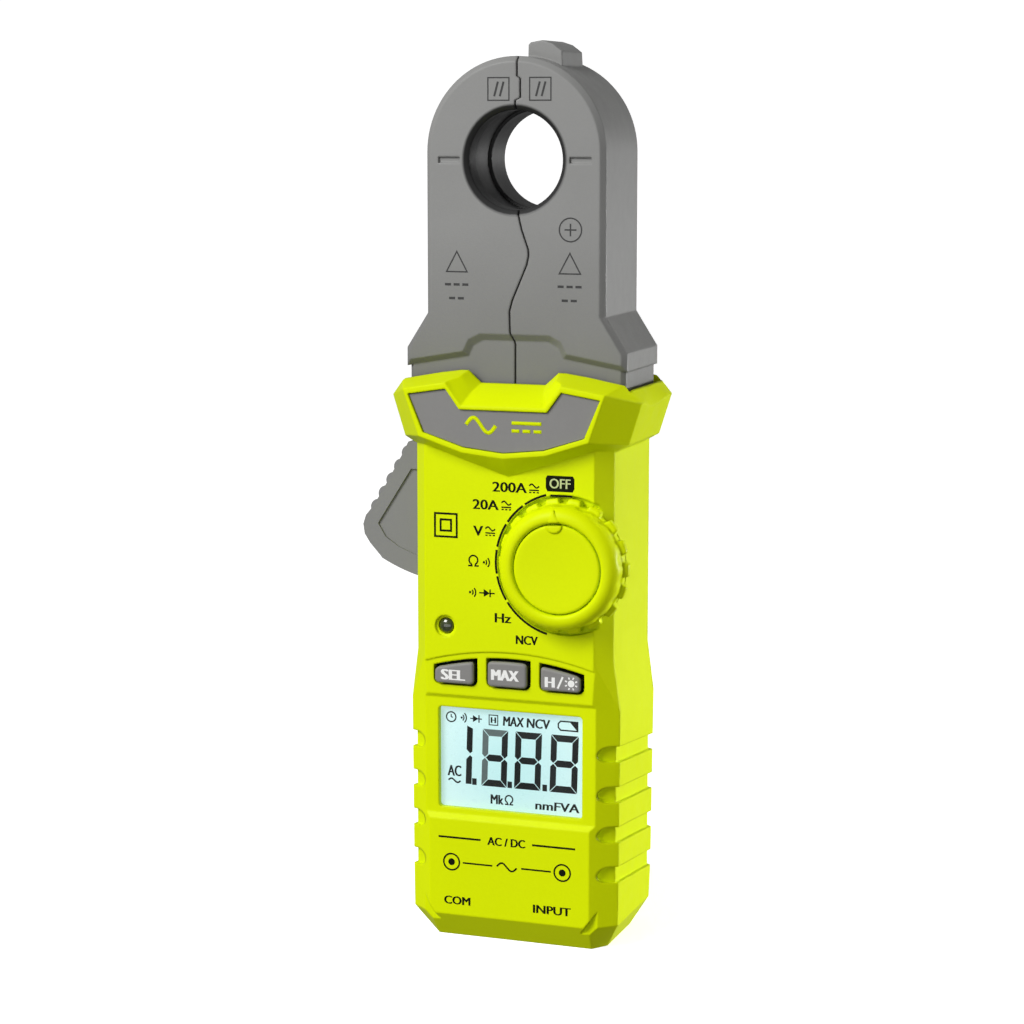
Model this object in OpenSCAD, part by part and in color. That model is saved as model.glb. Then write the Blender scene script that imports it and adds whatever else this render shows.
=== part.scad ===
// Hand-held clamp meter. The front faces -Y, the jaws point up +Z, and the
// origin is the middle of the flat foot that the meter stands on. Millimetres.

/* [Jaws] */
// Diameter of the opening that the measured conductor passes through
hole_d = 20; // [17:0.5:20.5]
// Width across both closed jaws
jaw_w = 38.4; // [37.6:0.2:39]
// Thickness of the jaws, front to back
jaw_t = 23.2; // [22.8:0.2:23.4]
// Height of the middle of the opening
hole_z = 163; // [162:0.5:165]
// Gap between the closed jaws along their split
split_gap = 0.35; // [0.3:0.05:0.5]
// Half the distance between the two jaw pins
pivot_x = 14; // [14:1:14]
// Height of the jaw pins
pivot_z = 111; // [111:1:111]
// Diameter of the jaw pins
pin_d = 4; // [3:0.5:4]

/* [Case] */
// Width of the narrow upper half of the case
waist_w = 43; // [42.6:0.2:43.4]
// Width of the grip
grip_w = 45.8; // [45.4:0.2:46.2]
// Distance from the middle plane to the front face
front_y = 15; // [14.9:0.1:15.1]
// Distance from the middle plane to the back face
back_y = 16; // [15.9:0.1:16.2]
// Wall thickness of the case
wall = 2.2; // [2:0.1:2.3]
// Height at which the grip starts to widen
shoulder_z = 61.5; // [61:0.5:62]
// Number of grip grooves on each side
groove_count = 4; // [2:1:4]
// Distance between grip grooves
groove_pitch = 8.5; // [8:0.1:8.7]

/* [Display] */
// Width of the display opening
lcd_w = 31.6; // [30:0.2:32]
// Height of the display opening
lcd_h = 21.6; // [20:0.2:22]
// Height of the middle of the display
lcd_z = 39.3; // [39:0.1:39.6]

/* [Selector] */
// Distance of the selector's axis to the right of the middle
knob_x = 12.1; // [12:0.1:12.2]
// Height of the selector's axis
knob_z = 81.5; // [81:0.1:82]
// Radius of the selector's body
knob_r = 12.9; // [12.5:0.1:13]
// Angle between two neighbouring positions, degrees
knob_step = 21.5; // [20:0.5:22]
// Number of positions
knob_positions = 8; // [6:1:8]

/* [Test lead sockets] */
// Distance between the two sockets
socket_pitch = 19; // [19:0.1:19.2]
// Bore of the sockets, for 4 mm plugs
socket_d = 4.1; // [4.05:0.05:4.2]

/* [Hidden] */

$fn = 64;
eps = 0.01;
slip = 0.05;

lime = [0.80, 0.88, 0.0];
grey = [0.46, 0.46, 0.46];
grey_dark = [0.34, 0.34, 0.35];
steel = [0.72, 0.73, 0.75];
brass_tone = [0.80, 0.66, 0.30];
board_green = [0.07, 0.33, 0.20];
black = [0.08, 0.08, 0.09];

// Case
waist_h = waist_w / 2;
grip_h = grip_w / 2;
face_h = 18.4;
panel_h = 17.6;
corner_y = 11.2;
part_y = 12.6;
side_back_y = 12.9;
inner_front = front_y - wall;
inner_back = back_y - wall;
chamfer_z = 5.6;
grip_top_z = 51;
case_top_z = 105;
recess_z0 = 26.2;
recess_z1 = 53.2;
recess_depth = 0.8;
recess_bevel = 1.1;
field_arc_r = 62.6;
panel_chamfer = 2.2;

// Collar
collar_front = 18.6;
collar_back = 17.4;
collar_side_y = 10.7;
collar_h = 27;
rim_z = 118.4;
lobe_z = 120.8;
notch_crease = -15.8;
throat_front = 11.9;
throat_h = 24.9;
scoop_r = 40;
scoop_tilt = 23.2;
scoop_x = throat_h + scoop_r * cos(scoop_tilt);
scoop_z = 117.2 + scoop_r * sin(scoop_tilt);
badge_recess = 0.45;
badge_t = 1.2;

// Jaws
hole_r = hole_d / 2;
jaw_h = jaw_w / 2;
jaw_f = jaw_t / 2;
arc_z = hole_z + 1.5;
edge_bevel = 1.1;
flare_z = 131.8;
shoulder_h = 23.8;
apron_z = 121.9;
skirt_h = 23.3;
skirt_y = 10.5;
jaw_wall = 1.8;
cover_y = 10.3;
ear_y = 8.3;
ear_r = 6.5;
pin_r = pin_d / 2;
boss_r = 4;
core_r0 = 12.1;
core_r1 = 16.9;
core_y = 6;
lever_y = 3.5;
gear_y = 2.5;
gear_module = 1;
gear_teeth = 28;
jaw_posts = [[16.6, 126.4], [9.4, 126.4], [15.4, 142.5]];
post_r = 2.6;
screw_r = 1;

// Trigger
trigger_y = 6;
trigger_r = 36.4;

// Inside
lcd_frame_h = 17.2;
lcd_glass_h = 16.4;
board_front = 8.9;
board_t = 1.4;
board_back = board_front - board_t;
socket_y = -2;
sleeve_r = 5.4;
socket_len = 18;
cell_r = 5.25;
cell_len = 44.5;
cell_x = 5.6;
cell_y = 8.3;
cell_z = 22.6;
tray_x = 12.6;
tray_z0 = 17.5;
tray_z1 = 71.5;
tray_y0 = 1.4;
tray_t = 1.2;
cover_h = 13.6;
cover_z0 = 14;
cover_z1 = 74;
cover_gap = 0.15;
cover_screw_z = 72;
cover_screw_r = 1.1;
// Screw posts as x, z and the y that each starts from
case_posts = [[-16, 15.5, 4.2], [16, 15.5, 4.2], [-16.3, 71.4, -inner_front], [15.6, 95.5, -inner_front]];
case_post_r = 2.6;

// Selector
rotor_r = 6.8;
detent_r = 5.4;
detent_angle = 30;

// Buttons
button_bottom = 55.4;
button_arc_r = 60.75;
button_gap = 0.55;
button_w = 8.6;
button_xs = [-11.75, -0.1, 11.5];

// ---------------------------------------------------------------- helpers

// Extrudes a front-view outline (x, z) from y0 back to y1
module slab(y0, y1)
    translate([0, y1, 0]) rotate([90, 0, 0]) linear_extrude(y1 - y0) children();

// A disc or bar along Y at (x, z), from y0 to y1
module post(x, z, r, y0, y1)
    translate([x, y1, z]) rotate([90, 0, 0]) cylinder(r = r, h = y1 - y0);

// Puts a shape drawn about +Z on an axis that points out of the front
module out_of_front(x, z)
    translate([x, 0, z]) rotate([90, 0, 0]) children();

module box(lo, hi)
    translate(lo) cube(hi - lo);

module mirrored_pair() {
    children();
    mirror([1, 0, 0]) children();
}

// Plan outline (x, y) with all four upright edges cut off
function plan(hw, fw, yf, yc, ys, yr, bw) = [
    [-fw, -yf], [fw, -yf], [hw, -yc], [hw, ys],
    [bw, yr], [-bw, yr], [-hw, ys], [-hw, -yc]
];

// The same outline mirrored left to right and closed
function both_sides(half) = concat(
    half, [for (i = [len(half) - 1 : -1 : 0]) [-half[i][0], half[i][1]]]
);

module level(z, outline)
    translate([0, 0, z]) linear_extrude(eps) polygon(outline);

module rounded_rect(w, h, r)
    union() {
        square([w - 2 * r, h], center = true);
        square([w, h - 2 * r], center = true);
        for (x = [-1, 1], y = [-1, 1])
            translate([x * (w / 2 - r), y * (h / 2 - r)]) circle(r = r);
    }

// ---------------------------------------------------------------- case shape

grip_plan = plan(grip_h, panel_h, front_y, corner_y - 0.2, side_back_y, back_y, 19.6);
waist_plan = plan(waist_h, face_h, front_y, corner_y, side_back_y, back_y, face_h);

module grip_outer() {
    hull() {
        level(0, plan(19.4, 17, 11, 7.6, 8.2, 10.6, 17));
        level(chamfer_z, plan(grip_h - 0.3, panel_h, front_y, corner_y - 0.2, 11.4, back_y - 1.4, 18.4));
    }
    hull() {
        level(chamfer_z, plan(grip_h - 0.3, panel_h, front_y, corner_y - 0.2, 11.4, back_y - 1.4, 18.4));
        level(13, plan(grip_h - 0.2, panel_h, front_y, corner_y - 0.2, 12.2, back_y, 18.8));
        level(grip_top_z - eps, grip_plan);
    }
    hull() {
        level(grip_top_z - eps, grip_plan);
        level(shoulder_z, waist_plan);
    }
}

// What is left of the grip under the grooves
module groove_floor()
    translate([0, 0, 1])
        linear_extrude(60)
            polygon(plan(grip_h - 0.95, panel_h - 0.6, front_y - 0.7, corner_y - 0.45, 12.2, back_y, 19));

// Rounded slots, seen from the side, that fall towards the back
module groove_cutters()
    for (i = [0 : groove_count - 1])
        translate([14, -12.2, 42.2 - i * groove_pitch])
            rotate([90, 0, 90])
                linear_extrude(12)
                    rotate(-6)
                        union() {
                            circle(r = 1.7);
                            translate([0, -1.7]) square([30, 3.4]);
                        }

module grip_grooved()
    difference() {
        grip_outer();
        difference() {
            mirrored_pair() groove_cutters();
            groove_floor();
        }
    }

collar_ridge = both_sides([[0.01, 103.3], [9, 104.2], [18.2, 107.2], [21.6, 116.8], [12.7, 118.3]]);
collar_side = both_sides([
    [waist_h, 104.6], [24.3, 106.2], [collar_h, 114.7], [23.9, rim_z], [10.9, lobe_z]
]);

// Flared hand guard with a sloping front, before its notch and scoops
module collar_block()
    hull() {
        slab(-collar_front, -collar_front + eps) polygon(collar_ridge);
        slab(-front_y, -front_y + eps) polygon([[-18.7, 105.3], [0, 99.2], [18.7, 105.3], [18.7, 112], [-18.7, 112]]);
        slab(-14.1, -14) polygon([[-23.4, 118.1], [23.4, 118.1], [20, 106], [-20, 106]]);
        slab(-collar_side_y, collar_side_y) polygon(collar_side);
        slab(collar_back - eps, collar_back)
            polygon(both_sides([[19.5, 106], [21.8, 108], [23.2, 115], [20.6, 117.6], [10.9, 119]]));
    }

// Notch in the middle of the rim, with a crease half way back
module collar_notch() {
    hull() {
        slab(-collar_front - 0.3, -collar_front) polygon(both_sides([[9, 113.7], [15.9, 123]]));
        slab(notch_crease - eps, notch_crease) polygon(both_sides([[7.7, 116.4], [14.2, 123]]));
    }
    hull() {
        slab(notch_crease - eps, notch_crease) polygon(both_sides([[7.7, 116.4], [14.2, 123]]));
        slab(-throat_front, -throat_front + 0.2) polygon(both_sides([[6.9, 118], [12.4, 123]]));
    }
}

// Thumb scoops in the sloping tops of the two wings, deepest at their outer edges
module collar_scoops()
    mirrored_pair()
        translate([scoop_x, -0.5, scoop_z])
            rotate([0, 180 - scoop_tilt, 0])
                cylinder(r = scoop_r, h = 20, center = true, $fn = 180);

module throat()
    slab(-throat_front, throat_front)
        polygon(both_sides([
            [19.2, 101], [19.3, 104.2], [20.8, 106.4], [23.9, 111], [throat_h, rim_z], [throat_h, 130]
        ]));

module case_outer() {
    grip_grooved();
    translate([0, 0, shoulder_z - 0.2])
        linear_extrude(case_top_z - shoulder_z + 1)
            polygon(waist_plan);
    difference() {
        collar_block();
        collar_notch();
        collar_scoops();
    }
}

// The display field is a shallow channel across the front, with sloping sides
module display_channel()
    translate([-40, 0, 0])
        rotate([90, 0, 90])
            linear_extrude(80)
                polygon([
                    [-20, recess_z0], [-front_y, recess_z0], [-front_y + recess_depth, recess_z0 + recess_bevel],
                    [-front_y + recess_depth, recess_z1 - recess_bevel], [-front_y, recess_z1], [-20, recess_z1]
                ]);

// The field round the buttons lies a little lower, under an arched edge
module button_field()
    slab(-20, -front_y + 0.25)
        intersection() {
            circle(r = field_arc_r, $fn = 180);
            translate([-30, recess_z1 - 2]) square([60, 20]);
        }

// Small triangular cuts at the lower corners of the label panel
module panel_corners()
    mirrored_pair()
        slab(-front_y - 1, -front_y + 1.2)
            polygon([[panel_h - panel_chamfer, 4], [panel_h + 2, 4], [panel_h + 2, chamfer_z + panel_chamfer + 2]]);

module case_cavity() {
    translate([0, 0, wall + 4.2])
        linear_extrude(case_top_z - wall - 6.4)
            polygon(plan(waist_h - wall, face_h - 1.2, inner_front, corner_y - 1, 11.9, inner_back, face_h - 1));
    translate([0, 0, wall])
        linear_extrude(10)
            polygon(plan(16.4, 15.4, 10, 8, 9, 10, 15.4));
    translate([0, 0, 8])
        linear_extrude(44)
            polygon(plan(grip_h - wall - 0.5, panel_h - 1.4, inner_front, corner_y - 1.2, 11.4, inner_back, 18));
    box([-lcd_frame_h - 0.2, -inner_front, lcd_z - 13.4], [lcd_frame_h + 0.2, -board_front, lcd_z + 13.2]);
    post(knob_x, knob_z, rotor_r + 0.25, -inner_front, -board_front);
}

module button_shape(i, grow)
    intersection() {
        translate([button_xs[i], 59]) rounded_rect(button_w + 2 * grow, 2 * (59 - button_bottom) + 2 * grow, 0.9 + grow);
        circle(r = button_arc_r + grow, $fn = 180);
    }

module front_openings() {
    translate([0, 0, lcd_z])
        slab(-30, -10)
            rounded_rect(lcd_w, lcd_h, 0.8);
    for (i = [0 : 2])
        slab(-30, -10) button_shape(i, button_gap);
    post(knob_x, knob_z, 4 + slip, -30, -10);
    post(knob_x, knob_z, 14.5, -30, -front_y + 1);
    out_of_front(knob_x, knob_z)
        rotate_extrude()
            translate([detent_r - 1.1, inner_front - 0.1]) square([2.2, 0.4]);
    out_of_front(knob_x, knob_z)
        for (i = [0 : knob_positions - 1])
            rotate(detent_angle + i * knob_step) translate([detent_r, 0, inner_front]) cylinder(r = 0.7, h = 0.6);
    post(-13.9, 67.3, 1.75, -30, -10);
    post(-13.9, 67.3, 2.3, -30, -front_y + 0.6);
}

module trigger_slot()
    box([-40, -trigger_y - 0.3, 74.6], [-18, trigger_y + 0.3, 104.9]);

module socket_openings()
    for (x = [-1, 1])
        translate([x * socket_pitch / 2, socket_y, -1]) cylinder(r = sleeve_r, h = 12);

// Everything that is empty inside the case, around its screw posts
module case_hollow()
    difference() {
        case_cavity();
        for (p = case_posts) post(p[0], p[1], case_post_r, p[2], back_y);
        mirrored_pair() box([16, 4.2, 14.7], [grip_h, 11, 16.3]);
    }

// The throat around the bosses that hold the jaw pins
module throat_hollow()
    difference() {
        throat();
        for (x = [-1, 1], y = [-1, 1])
            translate([0, y * (skirt_y + 2.2), 0]) post(x * pivot_x, pivot_z, boss_r, -2, 2);
    }

module front_case() {
    color(lime)
    difference() {
        intersection() {
            case_outer();
            box([-40, -40, -1], [40, part_y, 140]);
        }
        case_hollow();
        throat_hollow();
        trigger_slot();
        display_channel();
        button_field();
        panel_corners();
        front_openings();
        socket_openings();
        for (p = case_posts) post(p[0], p[1], screw_r, part_y - 9.3, part_y + 1);
        for (x = [-1, 1]) post(x * pivot_x, pivot_z, pin_r, -14, 20);
        slab(-collar_front - 1, -collar_front + badge_recess + badge_t) badge_outline(0);
    }
}

module rear_case() {
    color(lime)
    difference() {
        intersection() {
            case_outer();
            box([-40, part_y, -1], [40, 40, 140]);
        }
        case_hollow();
        throat_hollow();
        box([-cover_h - cover_gap, 5, cover_z0 - cover_gap], [cover_h + cover_gap, 40, cover_z1 + cover_gap]);
        for (p = case_posts) {
            post(p[0], p[1], screw_r + 0.2, 0, 30);
            post(p[0], p[1], 2.1, part_y + 1.6, 30);
        }
        for (x = [-1, 1]) post(x * pivot_x, pivot_z, pin_r, 0, 15);
    }
}

module badge_outline(inset)
    polygon(both_sides([
        [0.01, 104.3 + inset], [8.6, 105.2 + inset], [17.3 - inset, 108], [20.6 - inset, 115.8 - inset],
        [12.4 + 0.3 * inset, 117.1 - inset], [9.4 - 0.3 * inset, 113 - inset]
    ]));

module badge_plate()
    color(grey)
    slab(-collar_front + badge_recess, -collar_front + badge_recess + badge_t) badge_outline(0.1);

// ---------------------------------------------------------------- display

module display_window()
    color([0.75, 0.9, 0.95, 0.4])
    translate([0, 0, lcd_z])
        slab(-front_y + recess_depth + 0.35, -inner_front)
            rounded_rect(lcd_w - 0.1, lcd_h - 0.1, 0.75);

module lcd_glass()
    color([0.62, 0.72, 0.66])
    box([-lcd_glass_h, -inner_front + 0.1, lcd_z - 12.4], [lcd_glass_h, -inner_front + 1.9, lcd_z + 12.2]);

module lcd_frame()
    color([0.92, 0.92, 0.90])
    difference() {
        box([-lcd_frame_h, -inner_front + 0.1, lcd_z - 13.2], [lcd_frame_h, -board_front - 0.02, lcd_z + 13]);
        box([-lcd_glass_h - slip, -20, lcd_z - 12.45], [lcd_glass_h + slip, -8, lcd_z + 12.25]);
    }

module backlight_panel()
    color([0.86, 0.96, 0.98])
    box([-lcd_glass_h + 0.2, -inner_front + 2, lcd_z - 10], [lcd_glass_h - 0.2, -inner_front + 3.2, lcd_z + 12]);

module zebra_strips()
    color([0.35, 0.35, 0.38])
    box([-15.6, -inner_front + 1.95, lcd_z - 12.3], [15.6, -board_front, lcd_z - 10.1]);

// ---------------------------------------------------------------- electronics

module main_board()
    color(board_green)
    difference() {
        slab(-board_front, -board_back)
            polygon([
                [-19.2, 13.5], [19.2, 13.5], [19.2, 54], [18.8, 58], [18.8, 99], [-18.8, 99], [-18.8, 58], [-19.2, 54]
            ]);
        for (p = case_posts) if (p[2] < 0) post(p[0], p[1], case_post_r + 0.3, -20, 20);
        post(knob_x, knob_z, 2.6, -20, 20);
    }

module controller_chips()
    color(black) {
        box([-6, -board_back, 76], [6, -board_back + 1.6, 88]);
        box([-5, -board_back, 93], [3, -board_back + 1.4, 97]);
        box([7, -board_back, 60.5], [12, -board_back + 1.5, 66.5]);
        box([-16.5, -board_back, 60], [-12.5, -board_back + 2.2, 68]);
    }

module tact_switches()
    color(black)
    for (x = button_xs)
        union() {
            box([x - 3, -board_front - 1.4, 55.2], [x + 3, -board_front, 61.2]);
            post(x, 58.2, 1.6, -board_front - 1.9, -board_front - 1.3);
        }

module buzzer()
    color(black)
    difference() {
        post(11.5, 73.2, 5.2, -board_back, -board_back + 3.2);
        post(11.5, 73.2, 1, -board_back + 2.2, 5);
    }

module indicator_led()
    color([0.25, 0.28, 0.22])
    union() {
        post(-13.9, 67.3, 1.7, -14.1, -board_front - 0.8);
        translate([-13.9, -14.1, 67.3]) sphere(r = 0.4);
        post(-13.9, 67.3, 1.95, -board_front - 0.85, -board_front);
    }

module ncv_antenna()
    color(brass_tone)
    union() {
        box([-9, -board_front - 3.2, 92], [3.6, -board_front - 2.9, 98]);
        box([-8, -board_front - 3.1, 93], [-7, -board_front, 94]);
    }

module socket_sleeve(x)
    translate([x, socket_y, 0.2])
        difference() {
            cylinder(r = sleeve_r - slip, h = 17);
            translate([0, 0, -1])
                difference() {
                    cylinder(r = 4.4, h = 13);
                    cylinder(r = 3.1, h = 13);
                }
            translate([0, 0, -1]) cylinder(r = 2.6, h = 22);
        }

module socket_sleeve_com() color(black) socket_sleeve(-socket_pitch / 2);
module socket_sleeve_input() color([0.75, 0.08, 0.06]) socket_sleeve(socket_pitch / 2);

module socket_contacts()
    color(brass_tone)
    for (x = [-1, 1])
        translate([x * socket_pitch / 2, socket_y, 1.2])
            union() {
                difference() {
                    cylinder(r = 2.58, h = socket_len + 2);
                    translate([0, 0, -1]) cylinder(r = socket_d / 2, h = socket_len + 1);
                }
                translate([-1.5, -board_back - socket_y, socket_len + 0.8])
                    cube([3, board_back + socket_y - 2.2, 1.2]);
            }

// ---------------------------------------------------------------- battery bay

module battery_tray()
    color(black)
    difference() {
        union() {
            box([-tray_x, tray_y0, tray_z0], [tray_x, inner_back - 0.1, tray_z1]);
            post(0, cover_screw_z, 2.6, 8.6, inner_back - 0.1);
        }
        box([-tray_x + tray_t, tray_y0 + tray_t, tray_z0 + tray_t], [tray_x - tray_t, 30, tray_z1 - tray_t]);
        post(0, cover_screw_z, cover_screw_r + slip, 0, 30);
    }

module batteries()
    color([0.20, 0.22, 0.25])
    for (s = [-1, 1])
        translate([s * cell_x, cell_y, cell_z + (s > 0 ? 0 : cell_len - 0.7)])
            rotate([s > 0 ? 0 : 180, 0, 0])
                union() {
                    cylinder(r = cell_r, h = cell_len - 0.8);
                    cylinder(r = 1.9, h = cell_len);
                }

module battery_springs()
    color(steel)
    for (s = [-1, 1])
        translate([s * cell_x, cell_y, s > 0 ? tray_z0 + tray_t : tray_z1 - tray_t])
            rotate([s > 0 ? 0 : 180, 0, 0]) {
                cylinder(r = 3.6, h = 0.4);
                translate([0, 0, 0.79]) coil(2.8, 0.35, 1.05, 2.5, 16);
            }

module battery_plates()
    color(steel)
    for (s = [-1, 1])
        translate([s * cell_x, cell_y, s > 0 ? tray_z1 - tray_t : tray_z0 + tray_t])
            rotate([s > 0 ? 180 : 0, 0, 0])
                union() {
                    translate([-4, -4.2, 0]) cube([8, 8.4, 0.4]);
                    cylinder(r = 2.2, h = 3.2);
                }

module battery_cover()
    color(lime)
    difference() {
        union() {
            box([-cover_h, inner_back + 0.1, cover_z0], [cover_h, back_y, cover_z1]);
            box([-cover_h + 2.2, inner_back - 0.05, cover_z0 + 1.5], [cover_h - 2.2, back_y - 0.5, tray_z0 - 0.4]);
        }
        for (i = [0 : 4])
            box([-6, back_y - 0.5, 66 - i * 1.8], [6, back_y + 1, 66.9 - i * 1.8]);
        post(0, cover_screw_z, 1.3, 0, 30);
        post(0, cover_screw_z, 2.3, back_y - 1.2, 30);
    }

module battery_cover_screw()
    color(steel)
    difference() {
        union() {
            post(0, cover_screw_z, cover_screw_r, back_y - 6, back_y - 1);
            post(0, cover_screw_z, 2.15, back_y - 1.15, back_y - 0.2);
        }
        box([-1.5, back_y - 0.7, cover_screw_z - 0.3], [1.5, back_y + 1, cover_screw_z + 0.3]);
        box([-0.3, back_y - 0.7, cover_screw_z - 1.5], [0.3, back_y + 1, cover_screw_z + 1.5]);
    }

module case_screws()
    color(steel)
    for (p = case_posts)
        difference() {
            union() {
                post(p[0], p[1], screw_r - slip, part_y - 8.5, part_y + 2);
                post(p[0], p[1], 1.9, part_y + 1.65, part_y + 3);
            }
            box([p[0] - 1.3, part_y + 2.2, p[1] - 0.25], [p[0] + 1.3, part_y + 4, p[1] + 0.25]);
            box([p[0] - 0.25, part_y + 2.2, p[1] - 1.3], [p[0] + 0.25, part_y + 4, p[1] + 1.3]);
        }

module jaw_pins()
    color(steel)
    for (x = [-1, 1]) post(x * pivot_x, pivot_z, pin_r, -13.9, 14.9);

// Points of a coil about Z, as rings of eight
function coil_point(r, wire, pitch, n, i, k) = [
    (r + wire * cos(k * 45)) * cos(i * 360 / n),
    (r + wire * cos(k * 45)) * sin(i * 360 / n),
    pitch * i / n + wire * sin(k * 45)
];

// Wire coil about Z; a leg longer than 0 carries both ends on straight
module coil(r, wire, pitch, turns, n = 20, leg = 0) {
    last = n * turns;
    start = [for (k = [0 : 7]) coil_point(r, wire, pitch, n, 0, k) - [0, leg, 0]];
    end = [for (k = [0 : 7]) coil_point(r, wire, pitch, n, last, k) + leg * [-sin(360 * turns), cos(360 * turns), 0]];
    wound = [for (i = [0 : last], k = [0 : 7]) coil_point(r, wire, pitch, n, i, k)];
    rings = leg > 0 ? last + 2 : last;
    polyhedron(
        points = leg > 0 ? concat(start, wound, end) : wound,
        faces = concat(
            [[for (k = [7 : -1 : 0]) k]],
            [[for (k = [0 : 7]) rings * 8 + k]],
            [for (i = [0 : rings - 1], k = [0 : 7])
                [i * 8 + k, i * 8 + (k + 1) % 8, (i + 1) * 8 + (k + 1) % 8, (i + 1) * 8 + k]]
        )
    );
}

module jaw_spring()
    color(steel)
    translate([pivot_x, 7.8, pivot_z]) rotate([90, 0, 0]) coil(6, 0.4, 0.95, 3.5, leg = 4);

// ---------------------------------------------------------------- jaws

// Line along which the closed jaws meet, top to bottom
split = [
    [0.6, 200], [0.6, 179.7], [1.3, 179.2], [1.3, 175.4], [0.2, 174.9], [0.2, 155.5],
    [0.9, 152], [1.6, 149.1], [3, 145.2], [3.1, 144], [2.7, 142], [-0.4, 134.8],
    [-1, 132.6], [-0.9, 128.4], [-0.1, 125.8], [-0.1, 90]
];

// Region left (s = -1) or right (s = 1) of the split, moved away from it by d
module jaw_side(s, d)
    polygon(concat(
        [for (p = split) [p[0] + s * d, p[1]]],
        [[s * 60, 90], [s * 60, 200]]
    ));

module stadium(inset)
    union() {
        translate([0, arc_z]) circle(r = jaw_h - inset, $fn = 96);
        translate([-jaw_h + inset, flare_z]) square([jaw_w - 2 * inset, arc_z - flare_z]);
    }

// Upper part of the jaws: straight sides under a half circle
module jaw_top()
    hull() {
        slab(-jaw_f + edge_bevel, jaw_f - edge_bevel) stadium(0);
        slab(-jaw_f, jaw_f) stadium(edge_bevel);
    }

// Widening shoulder of one jaw, with a bevel all round; s is -1 or 1
module jaw_apron(s)
    hull() {
        slab(-jaw_f + edge_bevel, jaw_f - edge_bevel)
            polygon([
                [-s * 6, flare_z], [s * jaw_h, flare_z], [s * shoulder_h, 124.6], [s * shoulder_h, apron_z - 1.1],
                [s * 11.2, 123.0], [-s * 6, 126]
            ]);
        slab(-jaw_f, jaw_f)
            polygon([
                [-s * 6, flare_z], [s * (jaw_h - 1.1), flare_z], [s * (shoulder_h - 1), 124.3],
                [s * (shoulder_h - 1), apron_z + 0.3], [s * 11.2, 124.2], [-s * 6, 127.2]
            ]);
    }

// Tongue-shaped recess in the middle of the front
module tongue_cut()
    hull() {
        slab(-jaw_f - 0.2, -jaw_f)
            polygon(both_sides([[11.4, 120], [11.2, 124.3], [10, 126.7], [7.5, 127.9]]));
        slab(-skirt_y - eps, -skirt_y)
            polygon(both_sides([[10.4, 119], [10.2, 123.1], [9.2, 125.3], [7, 126.5]]));
    }

// Lower end of one jaw: the skirt that goes down into the collar and the hub
module jaw_skirt(s)
    intersection() {
        translate([0, 0, 100])
            linear_extrude(28.2)
                polygon(plan(skirt_h, skirt_h - 0.9, skirt_y, skirt_y - 0.9, skirt_y - 0.9, skirt_y, skirt_h - 0.9));
        slab(-20, 20)
            union() {
                polygon([
                    [s * 20.4, 128.9], [s * skirt_h, 124.4], [s * skirt_h, 113], [s * 20.2, 106.8],
                    [s * 7.8, 109.4], [s * 6, 114.5], [-s * 6, 114.5], [-s * 6, 128.9]
                ]);
                translate([s * pivot_x, pivot_z]) circle(r = ear_r);
            }
    }

module jaw_body(s)
    difference() {
        intersection() {
            union() {
                difference() {
                    union() {
                        jaw_top();
                        jaw_apron(s);
                    }
                    tongue_cut();
                }
                jaw_skirt(s);
            }
            slab(-20, 20) jaw_side(s, split_gap / 2);
        }
        post(0, hole_z, hole_r, -20, 20);
        post(0, hole_z, hole_r + 0.7, -6.4, 2.6);
        for (y = [-1, 1])
            translate([0, y * jaw_f, hole_z]) rotate([y * 90, 0, 0])
                translate([0, 0, -0.01]) cylinder(r1 = hole_r + 1, r2 = hole_r, h = 1);
        post(s * pivot_x, pivot_z, pin_r + slip, -20, 20);
        box([s * 14.05 - 2.3, -jaw_f - 1, hole_z - 0.6], [s * 14.05 + 2.3, -jaw_f + 0.5, hole_z + 0.6]);
    }

// Hollow of the jaw, seen from the front
module jaw_hollow(s, gap)
    difference() {
        intersection() {
            union() {
                translate([0, arc_z]) circle(r = jaw_h - jaw_wall - gap, $fn = 96);
                translate([-jaw_h + jaw_wall + gap, 129]) square([jaw_w - 2 * jaw_wall - 2 * gap, arc_z - 129]);
                polygon(both_sides([
                    [21.4 - gap, 120.4], [21.4 - gap, 124.2], [jaw_h - jaw_wall - gap, 131.5]
                ]));
            }
            jaw_side(s, split_gap / 2 + 1.4 + gap);
        }
        translate([0, hole_z]) circle(r = hole_r + jaw_wall + gap);
    }

// Open space between the two ears, where the levers and their gears turn
module ear_space(s)
    polygon([
        [s * (21.4), 120.5], [s * 21.4, 100], [-s * 8, 100], [-s * 8, 119.4], [s * 2, 119.4], [s * 2, 120.5]
    ]);

module jaw_shell(s)
    difference() {
        union() {
            difference() {
                intersection() {
                    jaw_body(s);
                    box([-40, -40, 90], [40, cover_y, 200]);
                }
                slab(-jaw_f + jaw_wall, 20) intersection() {
                    jaw_hollow(s, 0);
                    translate([-40, 128.6]) square([80, 80]);
                }
                slab(-ear_y, 20) jaw_hollow(s, 0);
                slab(-ear_y, 20) ear_space(s);
            }
            for (p = jaw_posts) post(s * p[0], p[1], post_r, -skirt_y + 0.5, ear_y - slip);
        }
        for (p = jaw_posts) post(s * p[0], p[1], screw_r, -5, 20);
    }

module jaw_cover(s)
    difference() {
        union() {
            intersection() {
                jaw_body(s);
                box([-40, cover_y, 90], [40, 40, 200]);
            }
            intersection() {
                jaw_body(s);
                slab(ear_y, cover_y + eps)
                    union() {
                        jaw_hollow(s, 0.1);
                        intersection() {
                            ear_space(s);
                            jaw_side(s, split_gap / 2);
                        }
                    }
            }
        }
        for (p = jaw_posts) {
            post(s * p[0], p[1], screw_r + 0.2, 0, 20);
            post(s * p[0], p[1], 2, ear_y + 1.2, 20);
        }
    }

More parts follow.
